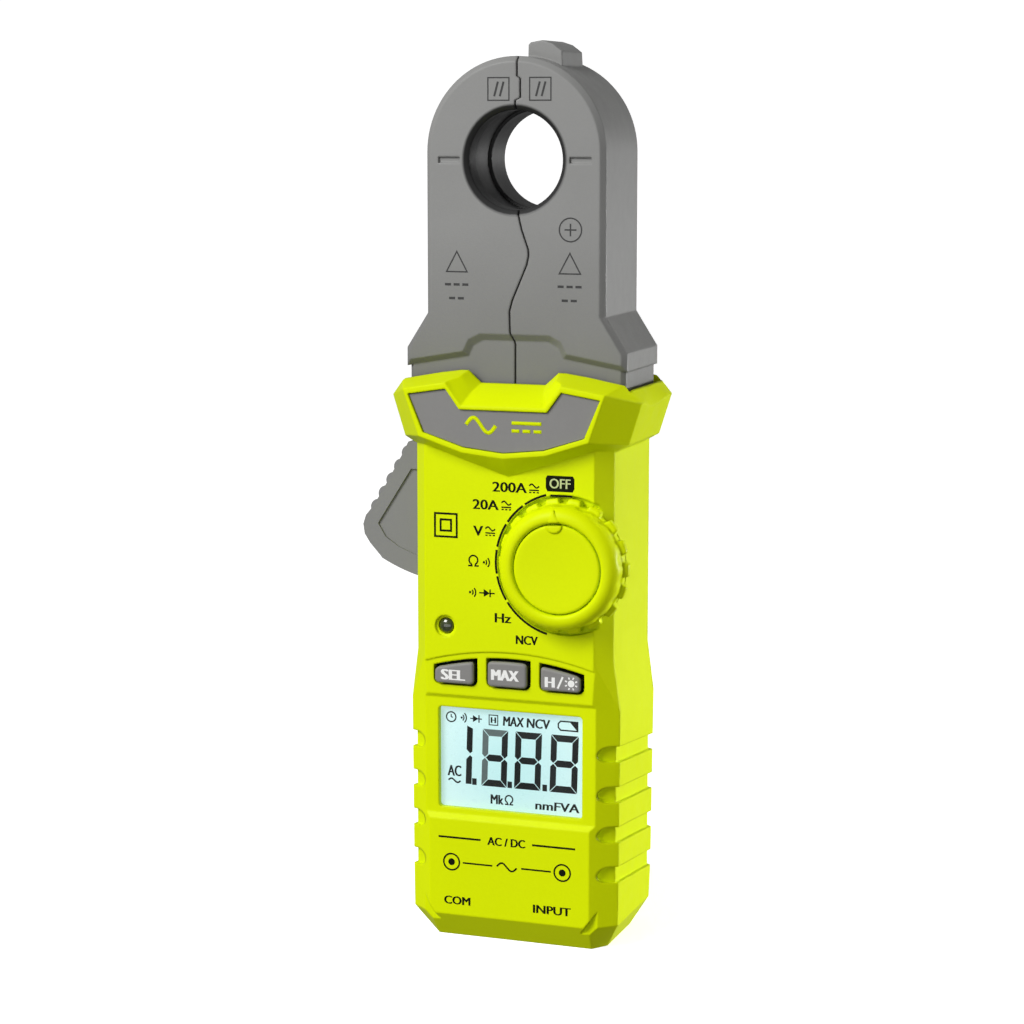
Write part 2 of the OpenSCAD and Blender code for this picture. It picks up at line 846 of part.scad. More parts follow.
module jaw_screws(s)
    color(steel)
    for (p = jaw_posts)
        difference() {
            union() {
                post(s * p[0], p[1], screw_r - slip, -4, ear_y + 1.4);
                post(s * p[0], p[1], 1.9, ear_y + 1.2, ear_y + 2.2);
            }
            box([s * p[0] - 1.3, ear_y + 1.7, p[1] - 0.25], [s * p[0] + 1.3, 20, p[1] + 0.25]);
            box([s * p[0] - 0.25, ear_y + 1.7, p[1] - 1.3], [s * p[0] + 0.25, 20, p[1] + 1.3]);
        }

module jaw_core(s, gap)
    color([0.30, 0.30, 0.33])
    slab(-core_y, core_y)
        intersection() {
            difference() {
                translate([0, hole_z]) circle(r = core_r1, $fn = 96);
                translate([0, hole_z]) circle(r = core_r0, $fn = 96);
            }
            jaw_side(s, gap);
        }

// One gear sector: involute flanks about the origin, tooth centres at the given angles
function inv_x(r, rb) = sqrt(r * r / (rb * rb) - 1) * 180 / PI - acos(rb / r);
pitch_r = gear_module * gear_teeth / 2;
base_r = pitch_r * cos(20);
tip_r = pitch_r + 0.85;
root_r = pitch_r - 1.2;
half_tooth = 90 / gear_teeth - 0.35;
flank_rs = [base_r, base_r + 0.3, pitch_r, tip_r];

function flank_angle(r) = half_tooth + inv_x(pitch_r, base_r) - inv_x(r, base_r);

module gear_tooth(a)
    polygon(concat(
        [[(root_r - 0.3) * cos(a - flank_angle(base_r)), (root_r - 0.3) * sin(a - flank_angle(base_r))]],
        [for (r = flank_rs) [r * cos(a - flank_angle(r)), r * sin(a - flank_angle(r))]],
        [for (i = [3 : -1 : 0]) let (r = flank_rs[i]) [r * cos(a + flank_angle(r)), r * sin(a + flank_angle(r))]],
        [[(root_r - 0.3) * cos(a + flank_angle(base_r)), (root_r - 0.3) * sin(a + flank_angle(base_r))]]
    ));

module gear_sector(angles, spread)
    union() {
        intersection() {
            circle(r = root_r);
            polygon([[0, 0], [30 * cos(spread), -30 * sin(spread)], [30, 0], [30 * cos(spread), 30 * sin(spread)]]);
        }
        for (a = angles) gear_tooth(a);
    }

tooth_step = 360 / gear_teeth;

module jaw_lever(s)
    difference() {
        union() {
            post(s * pivot_x, pivot_z, 5, -ear_y + 0.1, ear_y - 0.1);
            slab(-lever_y, lever_y)
                union() {
                    polygon([
                        [s * 19, pivot_z], [s * 20.6, 118], [s * 20.6, 124.4], [s * 17.2, 130.6], [s * 6.4, 130.6],
                        [s * 6.4, 122], [s * 9, pivot_z]
                    ]);
                    translate([s * pivot_x, pivot_z]) circle(r = 5.2);
                }
            slab(-gear_y, gear_y)
                translate([s * pivot_x, pivot_z])
                    mirror([s > 0 ? 1 : 0, 0])
                        if (s < 0) gear_sector([-2 * tooth_step, -tooth_step, 0, tooth_step, 2 * tooth_step], 33);
                        else gear_sector([-1.5 * tooth_step, -0.5 * tooth_step, 0.5 * tooth_step, 1.5 * tooth_step], 27);
        }
        post(s * pivot_x, pivot_z, pin_r + slip, -20, 20);
        for (p = jaw_posts) post(s * p[0], p[1], post_r + 0.05, -20, 20);
    }

module left_jaw_shell() color(grey) jaw_shell(-1);
module left_jaw_cover() color(grey) jaw_cover(-1);
module left_core() jaw_core(-1, 2);
module left_jaw_screws() jaw_screws(-1);

// Low barrier on top of the right jaw that keeps fingers off the conductor
module finger_guard()
    slab(-6, 7)
        polygon([[0.95, 180], [1.1, 186.0], [1.6, 186.5], [4, 186.9], [6.2, 186.2], [8.2, 184.7], [8.5, 180]]);

module right_jaw_shell()
    color(grey)
    union() {
        jaw_shell(1);
        difference() {
            finger_guard();
            slab(-20, 20) translate([0, arc_z]) circle(r = jaw_h - 0.6, $fn = 96);
        }
    }
module right_jaw_cover() color(grey) jaw_cover(1);
module right_core() jaw_core(1, 3.4);
module right_jaw_screws() jaw_screws(1);

module hall_sensor()
    color(black)
    box([3, -2, 175.8], [4.4, 2, 179]);

tongue = [[-19, 111], [-19, 105], [-22.6, 99], [-22.6, 90.5], [-18.6, 90.5], [-18.6, 98], [-14.2, 105.6]];

module left_lever()
    color(steel)
    difference() {
        union() {
            jaw_lever(-1);
            slab(-lever_y, lever_y) polygon(tongue);
        }
        post(-pivot_x, pivot_z, pin_r + slip, -20, 20);
        post(-20.6, 93.4, 1.25, -20, 20);
    }

module right_lever()
    color(steel)
    jaw_lever(1);

// Finger trigger: a fin whose lower edge runs concentric with the jaw pin
module trigger_outline()
    intersection() {
        translate([-pivot_x, pivot_z]) circle(r = trigger_r, $fn = 128);
        polygon([
            [-17, 70], [-17, 103.2], [-19, 104.3], [-25.6, 104.3], [-26.6, 102.2], [-28.4, 99.1], [-30.1, 96.1],
            [-31.9, 93.1], [-33.7, 90.2], [-35.4, 88.2], [-36, 86.3], [-35.7, 84.2], [-34.4, 82.2], [-32, 79.6], [-26, 70]
        ]);
    }

// Rounded ribs down the upper edge, for the finger
module trigger_ribs()
    for (i = [0 : 4]) post(-25.93 - i * 1.78, 101.62 - i * 2.95, 1.75, -4.6, 4.6);

module trigger_panel()
    polygon([
        [-21, 98.5], [-25, 98.5], [-32.6, 86.6], [-30.9, 83.8], [-27.9, 81.8], [-24.2, 80.3], [-21, 79.6]
    ]);

module trigger()
    color(grey)
    difference() {
        union() {
            slab(-trigger_y, trigger_y) trigger_outline();
            trigger_ribs();
        }
        slab(-trigger_y - 1, -trigger_y + 0.5) trigger_panel();
        slab(trigger_y - 0.5, trigger_y + 1) trigger_panel();
        slab(-lever_y - 0.02, lever_y + 0.02) polygon(tongue);
        post(-pivot_x, pivot_z, 5.3, -20, 20);
        post(-20.6, 93.4, 1.25, -20, 20);
    }

module trigger_pin()
    color(steel)
    post(-20.6, 93.4, 1.22, -5.4, 5.4);

// ---------------------------------------------------------------- selector

module selector_knob()
    color(lime)
    out_of_front(knob_x, knob_z)
        difference() {
            union() {
                rotate_extrude($fn = 96)
                    polygon([
                        [0, 9.2], [3, 9.2], [3, 12.4], [4, 12.4], [4, 14.2], [12.9, 14.2], [knob_r, 14.2], [knob_r, 18.2],
                        [knob_r - 0.3, 19.3], [knob_r - 1, 20.2], [knob_r - 2.1, 20.8], [9.9, 20.8], [9.2, 20.2],
                        [9.2, 19.2], [0, 19.2]
                    ]);
                difference() {
                    translate([0, 0, 14.2]) cylinder(r = 13.9, h = 2.1, $fn = 96);
                    for (i = [0 : 17])
                        rotate(i * 20 + 10) translate([14.6, 0, 14]) cylinder(r = 1.5, h = 4);
                }
            }
            translate([0, 0, 8]) cylinder(r = 0.85, h = 7);
        }

module selector_cap()
    color(lime)
    out_of_front(knob_x, knob_z)
        union() {
            translate([0, 0, 19.2]) cylinder(r = 9.1, h = 1.1, $fn = 96);
            rotate(93) translate([8, 0, 19.2]) cylinder(r = 1.1, h = 1.5);
        }

module rotor()
    color([0.85, 0.85, 0.82])
    out_of_front(knob_x, knob_z)
        difference() {
            translate([0, 0, 9.6]) cylinder(r = rotor_r, h = 2.8);
            translate([0, 0, 9]) cylinder(r = 3, h = 5);
            rotate(detent_angle) translate([detent_r, 0, 10.4]) cylinder(r = 1.05, h = 5);
        }

module wiper_contacts()
    color(brass_tone)
    out_of_front(knob_x, knob_z)
        for (a = [90, 210, 330])
            rotate(a) translate([3.5, -0.6, board_front + 0.05]) cube([3, 1.2, 9.6 - board_front - 0.05]);

module rotor_screw()
    color(steel)
    out_of_front(knob_x, knob_z)
        difference() {
            union() {
                translate([0, 0, 8.1]) cylinder(r = 2.2, h = 1.1);
                translate([0, 0, 9.1]) cylinder(r = 0.82, h = 5.2);
            }
            translate([-1.4, -0.25, 7]) cube([2.8, 0.5, 1.6]);
        }

module detent_spring()
    color(steel)
    out_of_front(knob_x, knob_z)
        rotate(detent_angle) translate([detent_r, 0, 10.4])
            difference() {
                cylinder(r = 0.9, h = 0.75);
                translate([0, 0, -1]) cylinder(r = 0.55, h = 3);
            }

module detent_ball()
    color(steel)
    out_of_front(knob_x, knob_z)
        rotate(detent_angle) translate([detent_r, 0, 12.1]) sphere(r = 0.9, $fn = 96);

// ---------------------------------------------------------------- buttons

module button(i)
    color(grey_dark)
    union() {
        slab(-front_y - 0.9, -inner_front - 0.2) button_shape(i, 0);
        box([button_xs[i] - 3, -inner_front - 0.25, 56], [button_xs[i] + 3, -board_front - 3.2, 59.6]);
        post(button_xs[i], 58.2, 1.5, -board_front - 3.3, -board_front - 2.95);
    }

module function_button() button(0);
module max_button() button(1);
module light_button() button(2);

front_case();
rear_case();
badge_plate();
display_window();
lcd_glass();
lcd_frame();
backlight_panel();
zebra_strips();
main_board();
controller_chips();
tact_switches();
buzzer();
indicator_led();
ncv_antenna();
socket_sleeve_com();
socket_sleeve_input();
socket_contacts();
battery_tray();
batteries();
battery_springs();
battery_plates();
battery_cover();
battery_cover_screw();
case_screws();
jaw_pins();
jaw_spring();
left_jaw_shell();
left_jaw_cover();
left_core();
left_lever();
trigger();
trigger_pin();
left_jaw_screws();
right_jaw_shell();
right_jaw_cover();
right_core();
right_lever();
hall_sensor();
right_jaw_screws();
selector_knob();
selector_cap();
rotor();
wiper_contacts();
rotor_screw();
detent_spring();
detent_ball();
function_button();
max_button();
light_button();
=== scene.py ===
"""Looks of the hand-held clamp meter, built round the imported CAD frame.

The helpers take millimetres in the row frame: x to the right, z up, and the front faces -y.
"""

import math

import bmesh
import bpy
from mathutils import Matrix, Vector


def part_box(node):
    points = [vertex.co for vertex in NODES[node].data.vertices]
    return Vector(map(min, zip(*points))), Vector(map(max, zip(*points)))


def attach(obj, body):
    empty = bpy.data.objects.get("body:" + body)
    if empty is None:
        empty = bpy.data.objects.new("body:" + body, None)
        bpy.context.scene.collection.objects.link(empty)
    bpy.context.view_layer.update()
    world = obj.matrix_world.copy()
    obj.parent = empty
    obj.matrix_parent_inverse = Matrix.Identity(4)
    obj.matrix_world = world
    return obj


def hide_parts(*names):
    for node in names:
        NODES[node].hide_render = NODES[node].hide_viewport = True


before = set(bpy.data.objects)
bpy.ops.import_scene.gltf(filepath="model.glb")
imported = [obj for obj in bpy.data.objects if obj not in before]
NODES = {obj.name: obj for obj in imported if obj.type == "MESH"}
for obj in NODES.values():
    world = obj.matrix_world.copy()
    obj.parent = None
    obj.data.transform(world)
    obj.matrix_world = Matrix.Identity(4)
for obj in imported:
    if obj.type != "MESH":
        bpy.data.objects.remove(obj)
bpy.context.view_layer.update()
MM = 0.001
EXACT_WELD = 2e-6  # closes the seams of the CAD mesh and moves nothing else
SOFT_EDGE = 0.0006  # radius of the shading round on the big mouldings, in metres
COPY_STEP = 0.002  # how far back each copy of bold lettering lies
HOLE_Z = 163  # middle of the conductor opening


# ---------------------------------------------------------------- materials

class Nodes:
    """Small helper to wire up one material's node tree."""

    soft_edge = 0.0

    def __init__(self, name):
        self.mat = bpy.data.materials.new(name)
        self.mat.use_nodes = True
        self.tree = self.mat.node_tree
        self.bsdf = self.tree.nodes["Principled BSDF"]
        self.coords = self.tree.nodes.new("ShaderNodeTexCoord").outputs["Object"]

    def node(self, kind, **inputs):
        n = self.tree.nodes.new(kind)
        for key, value in inputs.items():
            socket = n.inputs[key.replace("_", " ")]
            if hasattr(value, "links"):
                self.tree.links.new(value, socket)
            else:
                socket.default_value = value
        return n

    def noise(self, scale, detail=3.0, rough=0.5, stretch=None):
        vector = self.coords
        if stretch:
            vector = self.node("ShaderNodeMapping", Vector=self.coords, Scale=stretch).outputs[0]
        n = self.node("ShaderNodeTexNoise", Vector=vector, Scale=scale, Detail=detail, Roughness=rough)
        return n.outputs["Fac"]

    def remap(self, value, lo, hi, from_lo=0.3, from_hi=0.7):
        n = self.node("ShaderNodeMapRange", Value=value)
        n.inputs["From Min"].default_value = from_lo
        n.inputs["From Max"].default_value = from_hi
        n.inputs["To Min"].default_value = lo
        n.inputs["To Max"].default_value = hi
        return n.outputs["Result"]

    def blend_colours(self, factor, a, b):
        n = self.tree.nodes.new("ShaderNodeMix")
        n.data_type = "RGBA"
        self.tree.links.new(factor, n.inputs["Factor"])
        for socket, value in ((n.inputs[6], a), (n.inputs[7], b)):
            if hasattr(value, "links"):
                self.tree.links.new(value, socket)
            else:
                socket.default_value = (*value, 1)
        return n.outputs[2]

    def mottled(self, scale, detail, a, b):
        """Noise that drifts between two colours."""
        return self.blend_colours(self.remap(self.noise(scale, detail), 0, 1), a, b)

    def set(self, socket, value):
        if hasattr(value, "links"):
            self.tree.links.new(value, self.bsdf.inputs[socket])
        else:
            self.bsdf.inputs[socket].default_value = value

    def bump(self, height, distance, strength=1.0):
        n = self.node("ShaderNodeBump", Height=height, Strength=strength, Distance=distance)
        if self.soft_edge:
            edge = self.tree.nodes.new("ShaderNodeBevel")
            edge.samples = 6
            edge.inputs["Radius"].default_value = self.soft_edge
            self.tree.links.new(edge.outputs[0], n.inputs["Normal"])
        self.tree.links.new(n.outputs[0], self.bsdf.inputs["Normal"])


def shade(colour, factor):
    return tuple(min(1.0, c * factor) for c in colour)


def plastic_nodes(name, colour, rough=0.35, spread=0.06, grain=2600, depth=0.00002, mottle=0.06, coat=0.0,
                  specular=0.5, soft_edge=0.0):
    """Moulded plastic: slight colour drift, uneven gloss and a fine spark-eroded grain."""
    n = Nodes(name)
    n.soft_edge = soft_edge
    drift = n.mottled(45, 2.0, shade(colour, 1 - mottle), shade(colour, 1 + mottle * 0.5))
    speck = n.remap(n.noise(grain * 0.7, 2.0), 0, 1)
    n.set("Base Color", n.blend_colours(n.remap(speck, 0.0, 0.12, 0, 1), drift, shade(colour, 0.82)))
    n.set("Roughness", n.remap(n.noise(320, 4.0), rough - spread, rough + spread))
    n.set("Specular IOR Level", specular)
    if coat:
        n.set("Coat Weight", coat)
        n.set("Coat Roughness", 0.12)
    n.bump(n.noise(grain, 2.0), depth)
    return n


def plastic(name, colour, **looks):
    return plastic_nodes(name, colour, **looks).mat


def metal(name, colour, rough=0.28, stretch=(1, 1, 14)):
    """Drawn or turned metal with fine lines along one way and dull patches."""
    n = Nodes(name)
    lines = n.noise(900, 3.0, 0.6, stretch)
    n.set("Base Color", n.mottled(160, 3.0, shade(colour, 0.86), colour))
    n.set("Metallic", 1.0)
    n.set("Roughness", n.remap(lines, rough - 0.08, rough + 0.12))
    n.bump(lines, 0.000012)
    return n.mat


def board_material():
    """Green solder mask with a weave and plated tracks."""
    n = Nodes("board_mask")
    tracks = n.node("ShaderNodeTexBrick", Vector=n.coords, Scale=420.0)
    tracks.inputs["Mortar Size"].default_value = 0.03
    green = n.mottled(1400, 2.0, (0.02, 0.17, 0.08), (0.03, 0.24, 0.12))
    n.set("Base Color", n.blend_colours(tracks.outputs["Fac"], green, (0.05, 0.32, 0.17)))
    n.set("Roughness", n.remap(n.noise(500, 3.0), 0.22, 0.36))
    n.bump(tracks.outputs["Fac"], 0.00003, 0.6)
    return n.mat


def lcd_material():
    """Liquid crystal with painted light: an emission stands in for the light that the window glass holds back,
    an even pale cyan that is a little whiter towards the rim.
    """
    n = Nodes("lcd_painted_light")
    lo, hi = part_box("lcd_glass")
    centre = (lo + hi) / 2
    offset = n.node("ShaderNodeVectorMath", Vector=n.coords)
    offset.operation = "SUBTRACT"
    offset.inputs[1].default_value = centre
    length = n.node("ShaderNodeVectorMath", Vector=offset.outputs[0])
    length.operation = "LENGTH"
    rim = n.remap(length.outputs["Value"], 0, 1, 0.004, 0.019)
    painted_light_blend = n.blend_colours(rim, (0.52, 0.90, 0.90), (0.70, 0.97, 0.97))
    painted_light_mottle = n.blend_colours(n.remap(n.noise(260, 3.0), 0, 0.25), painted_light_blend, (0.60, 0.93, 0.95))
    n.set("Base Color", n.blend_colours(rim, (0.25, 0.36, 0.36), (0.30, 0.40, 0.40)))
    # Painted light: this emission makes the panel glow although the selector rests at OFF.
    n.set("Emission Color", painted_light_mottle)
    n.set("Emission Strength", 0.57)
    n.set("Roughness", n.remap(n.noise(900, 2.0), 0.25, 0.4))
    return n.mat


def window_material():
    """Clear hard-coated acrylic; a trace of haze, mostly seen through."""
    n = Nodes("window_clear")
    haze = n.remap(n.noise(70, 3.0), 0.006, 0.02)
    n.set("Base Color", n.blend_colours(haze, (0.86, 0.97, 0.98), (1.0, 1.0, 1.0)))
    n.set("Roughness", n.remap(n.noise(600, 3.0), 0.04, 0.10))
    n.set("Specular IOR Level", 0.15)
    n.set("Alpha", haze)
    return n.mat


def lens_material():
    """Dark olive indicator lens."""
    n = Nodes("led_lens_tint")
    n.set("Base Color", n.mottled(900, 2.0, (0.020, 0.028, 0.008), (0.05, 0.065, 0.015)))
    n.set("Roughness", n.remap(n.noise(700, 2.0), 0.05, 0.12))
    n.set("Coat Weight", 1.0)
    n.set("Coat Roughness", 0.03)
    return n.mat


def jaw_plastic():
    """The jaw grey with painted shade: near black within the conductor opening and darker towards the hand
    guard.
    """
    n = plastic_nodes("jaw_grey_abs", (0.255, 0.255, 0.249), rough=0.46, grain=3400, depth=0.000022,
                      mottle=0.05, specular=0.3, soft_edge=SOFT_EDGE)
    # Painted shade: a mask by distance from the opening's axis turns the wall of the conductor opening near
    # black.
    offset = n.node("ShaderNodeVectorMath", Vector=n.coords)
    offset.operation = "SUBTRACT"
    offset.inputs[1].default_value = (0, 0, HOLE_Z * MM)
    flat = n.node("ShaderNodeVectorMath", Vector=offset.outputs[0])
    flat.operation = "MULTIPLY"
    flat.inputs[1].default_value = (1, 0, 1)
    length = n.node("ShaderNodeVectorMath", Vector=flat.outputs[0])
    length.operation = "LENGTH"
    painted_shade_opening = n.remap(length.outputs["Value"], 0, 1, 0.0108, 0.0114)
    base = n.bsdf.inputs["Base Color"].links[0].from_socket
    # Painted shade: the grey is multiplied darker with height, lower down the jaw towards the hand guard.
    height = n.node("ShaderNodeSeparateXYZ", Vector=n.coords).outputs["Z"]
    low = n.remap(height, 0, 1, 0.150, 0.113)
    body = n.blend_colours(low, (1, 1, 1), (0.66, 0.66, 0.64))
    tint = n.tree.nodes.new("ShaderNodeMix")
    tint.data_type = "RGBA"
    tint.blend_type = "MULTIPLY"
    tint.inputs["Factor"].default_value = 1.0
    n.tree.links.new(base, tint.inputs[6])
    n.tree.links.new(body, tint.inputs[7])
    n.set("Base Color", n.blend_colours(painted_shade_opening, (0.032, 0.032, 0.032), tint.outputs[2]))
    return n.mat


LIME = plastic("lime_abs", (0.70, 0.83, 0.001), rough=0.36, mottle=0.02, depth=0.000008, specular=0.05,
               soft_edge=SOFT_EDGE)
GREY = plastic("grey_abs", (0.215, 0.215, 0.210), rough=0.46, grain=3400, depth=0.000022,
               mottle=0.05, specular=0.35)
JAW_GREY = jaw_plastic()
GREY_KEY = plastic("grey_key", (0.235, 0.230, 0.222), rough=0.50, grain=3000, depth=0.00002,
                   mottle=0.06, specular=0.3)
INLAY = plastic("inlay_grey", (0.215, 0.212, 0.205), rough=0.40, grain=2400, depth=0.000012,
                mottle=0.04, specular=0.35)
BLACK = plastic("black_plastic", (0.012, 0.012, 0.013), rough=0.42, mottle=0.10)
RED = plastic("red_plastic", (0.42, 0.016, 0.012), rough=0.40)
WHITE = plastic("white_plastic", (0.78, 0.80, 0.80), rough=0.36, mottle=0.03)
RUBBER = plastic("grey_rubber", (0.05, 0.05, 0.055), rough=0.62, mottle=0.10)
CELL = plastic("cell_wrap", (0.03, 0.04, 0.06), rough=0.24, mottle=0.15, coat=0.5)
FERRITE = plastic("ferrite_core", (0.035, 0.035, 0.04), rough=0.55, grain=1200, depth=0.00006, mottle=0.2)
PRINT = plastic("black_print", (0.006, 0.008, 0.002), rough=0.6, mottle=0.12, depth=0.000006, specular=0.08)
MARK = plastic("jaw_mark_ink", (0.030, 0.030, 0.030), rough=0.60, mottle=0.12, depth=0.000006)
LEGEND = plastic("white_legend", (0.86, 0.86, 0.84), rough=0.45, mottle=0.02, depth=0.000006)
PALE_PRINT = plastic("pale_print", (0.52, 0.60, 0.28), rough=0.50, mottle=0.05, depth=0.000006)
SEGMENT = plastic("lcd_segment", (0.002, 0.003, 0.003), rough=0.6, mottle=0.10, depth=0.000004,
                  specular=0.05)
SEGMENT_FAINT = plastic("lcd_segment_faint", (0.09, 0.13, 0.13), rough=0.35, mottle=0.10, depth=0.000004)
STEEL = metal("bright_steel", (0.62, 0.63, 0.64))
BRASS = metal("plated_brass", (0.76, 0.57, 0.22), rough=0.24, stretch=(1, 1, 6))
BOARD = board_material()
LCD = lcd_material()
WINDOW = window_material()
LENS = lens_material()


# ---------------------------------------------------------------- mesh helpers

def new_piece(name, bm, material, body, smooth=False):
    """Turns a bmesh in millimetres into a piece in metres that rides on a body."""
    bmesh.ops.recalc_face_normals(bm, faces=bm.faces)
    bmesh.ops.scale(bm, vec=(MM, MM, MM), verts=bm.verts)
    mesh = bpy.data.meshes.new(name)
    bm.to_mesh(mesh)
    bm.free()
    mesh.polygons.foreach_set("use_smooth", [smooth] * len(mesh.polygons))
    materials = material if isinstance(material, (list, tuple)) else [material]
    for m in materials:
        mesh.materials.append(m)
    obj = bpy.data.objects.new(name, mesh)
    bpy.context.scene.collection.objects.link(obj)
    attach(obj, body)
    return obj


def add_prism(bm, outline, y_front, y_back, index=0):
    """A closed flat shape (x, z) with straight sides from y_front back to y_back."""
    front = [bm.verts.new((x, y_front, z)) for x, z in outline]
    back = [bm.verts.new((x, y_back, z)) for x, z in outline]
    count = len(outline)
    faces = [bm.faces.new(front), bm.faces.new(back[::-1])]
    for i in range(count):
        j = (i + 1) % count
        faces.append(bm.faces.new((front[j], front[i], back[i], back[j])))
    for f in faces:
        f.material_index = index


def add_stroke(bm, points, width, y_front, y_back, closed=False):
    """A mitred line of the given width, as one ribbon with thickness."""
    pts = [Vector(p) for p in points]
    count = len(pts)
    rings = []
    for i, p in enumerate(pts):
        before = pts[i - 1] if i or closed else None
        after = pts[(i + 1) % count] if i < count - 1 or closed else None
        ways = [w.normalized() for w in (before and p - before, after and after - p) if w]
        way = sum(ways, Vector((0, 0))) / len(ways)
        stretch = 1 / max(0.35, way.length)
        way = way.normalized() if way.length > 1e-6 else ways[0]
        half = Vector((-way.y, way.x)) * width / 2 * stretch
        left, right = p + half, p - half
        rings.append([
            bm.verts.new((left.x, y_front, left.y)), bm.verts.new((right.x, y_front, right.y)),
            bm.verts.new((right.x, y_back, right.y)), bm.verts.new((left.x, y_back, left.y)),
        ])
    for i in range(count if closed else count - 1):
        a, b = rings[i], rings[(i + 1) % count]
        for k in range(4):
            bm.faces.new((a[k], a[(k + 1) % 4], b[(k + 1) % 4], b[k]))
    if not closed:
        bm.faces.new(rings[0][::-1])
        bm.faces.new(rings[-1])


def arc(cx, cz, r, a0, a1, steps=None):
    steps = steps or max(3, int(abs(a1 - a0) / 4))
    angles = [math.radians(a0 + (a1 - a0) * i / steps) for i in range(steps + 1)]
    return [(cx + r * math.cos(a), cz + r * math.sin(a)) for a in angles]


def circle(cx, cz, r, steps=28):
    return arc(cx, cz, r, 0, 360, steps)[:-1]


def wave(x0, x1, z, height, steps=14):
    turns = [i / steps for i in range(steps + 1)]
    return [(x0 + (x1 - x0) * t, z + height / 2 * math.sin(2 * math.pi * t)) for t in turns]


def box_outline(x0, x1, z0, z1):
    return [(x0, z0), (x1, z0), (x1, z1), (x0, z1)]


def ohm_sign(x, z, r, foot):
    """Foot, nearly closed loop, foot, as one line; x and z are the loop's centre."""
    loop = arc(x, z, r, 240, -60, 16 if r > 0.9 else 14)
    low = z - foot[1]
    return [(x - foot[0], low), (x - foot[2], low)] + loop + [(x + foot[2], low), (x + foot[0], low)]


def add_text(bm, words, x0, x1, z_mid, height, y_front, y_back, bold=0.1, slant=0.0):
    """Plain lettering from Blender's own font, fitted to the width and cap height asked for."""
    curve = bpy.data.curves.new("lettering", "FONT")
    curve.body = words
    curve.size = 1.0
    curve.resolution_u = 3
    curve.extrude = 0.5
    obj = bpy.data.objects.new("lettering", curve)
    bpy.context.scene.collection.objects.link(obj)
    bpy.context.view_layer.update()
    mesh = bpy.data.meshes.new_from_object(obj.evaluated_get(bpy.context.evaluated_depsgraph_get()))
    xs = [v.co.x for v in mesh.vertices]
    ys = [v.co.y for v in mesh.vertices]
    kx = (x1 - x0) / (max(xs) - min(xs))
    kz = height / (max(ys) - min(ys))
    low, left = min(ys), min(xs)
    for v in mesh.vertices:
        depth = y_front if v.co.z > 0 else y_back
        z = z_mid - height / 2 + (v.co.y - low) * kz
        v.co = (x0 + (v.co.x - left) * kx + slant * (z - z_mid), depth, z)
    for copy, shift in enumerate((-bold, 0.0, bold)):
        first = len(bm.verts)
        bm.from_mesh(mesh)
        bm.verts.ensure_lookup_table()
        bmesh.ops.translate(bm, vec=(shift, COPY_STEP * copy, 0), verts=bm.verts[first:])
    bpy.data.objects.remove(obj)
    bpy.data.curves.remove(curve)
    bpy.data.meshes.remove(mesh)


def lathe(bm, rings, axis_x, axis_z, close_centre=True):
    """Joins rings about an axis along y. Each ring is a list of (radius, y), one per step of the turn."""
    steps = len(rings[0])
    rows = []
    for ring in rings:
        row = []
        for i, (r, y) in enumerate(ring):
            a = 2 * math.pi * i / steps
            row.append(bm.verts.new((axis_x + r * math.cos(a), y, axis_z + r * math.sin(a))))
        rows.append(row)
    for a, b in zip(rows, rows[1:]):
        for i in range(steps):
            j = (i + 1) % steps
            bm.faces.new((a[i], a[j], b[j], b[i]))
    if close_centre:
        bm.faces.new(rows[-1])


# ---------------------------------------------------------------- CAD nodes

def dress(name, material, bevel=0.0, segments=2, angle=28):
    """Gives a CAD node its material, clean shading and softly rounded edges. Its mesh stays as packed."""
    obj = NODES[name]
    obj.data.materials.clear()
    obj.data.materials.append(material)
    obj.data.polygons.foreach_set("use_smooth", [True] * len(obj.data.polygons))
    weld = obj.modifiers.new("weld", "WELD")
    weld.merge_threshold = EXACT_WELD
    flat = obj.modifiers.new("flat", "DECIMATE")
    flat.decimate_type = "DISSOLVE"
    flat.angle_limit = math.radians(0.6)
    if bevel:
        edge = obj.modifiers.new("edge", "BEVEL")
        edge.width = bevel * MM
        edge.segments = segments
        edge.limit_method = "ANGLE"
        edge.angle_limit = math.radians(angle)
        edge.use_clamp_overlap = True
        edge.harden_normals = True
        edge.miter_outer = "MITER_ARC"
    normals = obj.modifiers.new("normals", "WEIGHTED_NORMAL")
    normals.keep_sharp = True
    normals.weight = 80


ROUNDED = {
    "front_case": (LIME, 0.35), "rear_case": (LIME, 0.35), "battery_cover": (LIME, 0.3),
    "badge_plate": (INLAY, 0.12), "trigger": (GREY, 0.35),
    "left_jaw_shell": (JAW_GREY, 0.3), "left_jaw_cover": (JAW_GREY, 0.3),
    "right_jaw_shell": (JAW_GREY, 0.3), "right_jaw_cover": (JAW_GREY, 0.3),
    "socket_sleeve_com": (BLACK, 0.15), "socket_sleeve_input": (RED, 0.15),
}
PLAIN = (
    (LIME, ("selector_knob", "selector_cap")),
    (GREY_KEY, ("function_button", "max_button", "light_button")),
    (WINDOW, ("display_window",)),
    (LCD, ("lcd_glass",)),
    (LENS, ("indicator_led",)),
    (WHITE, ("lcd_frame", "backlight_panel", "rotor")),
    (RUBBER, ("zebra_strips",)),
    (BOARD, ("main_board",)),
    (BLACK, ("controller_chips", "tact_switches", "buzzer", "battery_tray", "hall_sensor")),
    (BRASS, ("ncv_antenna", "socket_contacts", "wiper_contacts")),
    (CELL, ("batteries",)),
    (FERRITE, ("left_core", "right_core")),
    (STEEL, ("battery_springs", "battery_plates", "battery_cover_screw", "case_screws", "jaw_pins",
             "jaw_spring", "left_lever", "right_lever", "trigger_pin", "left_jaw_screws", "right_jaw_screws",
             "rotor_screw", "detent_spring", "detent_ball")),
)
for node_name, (node_material, node_bevel) in ROUNDED.items():
    dress(node_name, node_material, node_bevel)
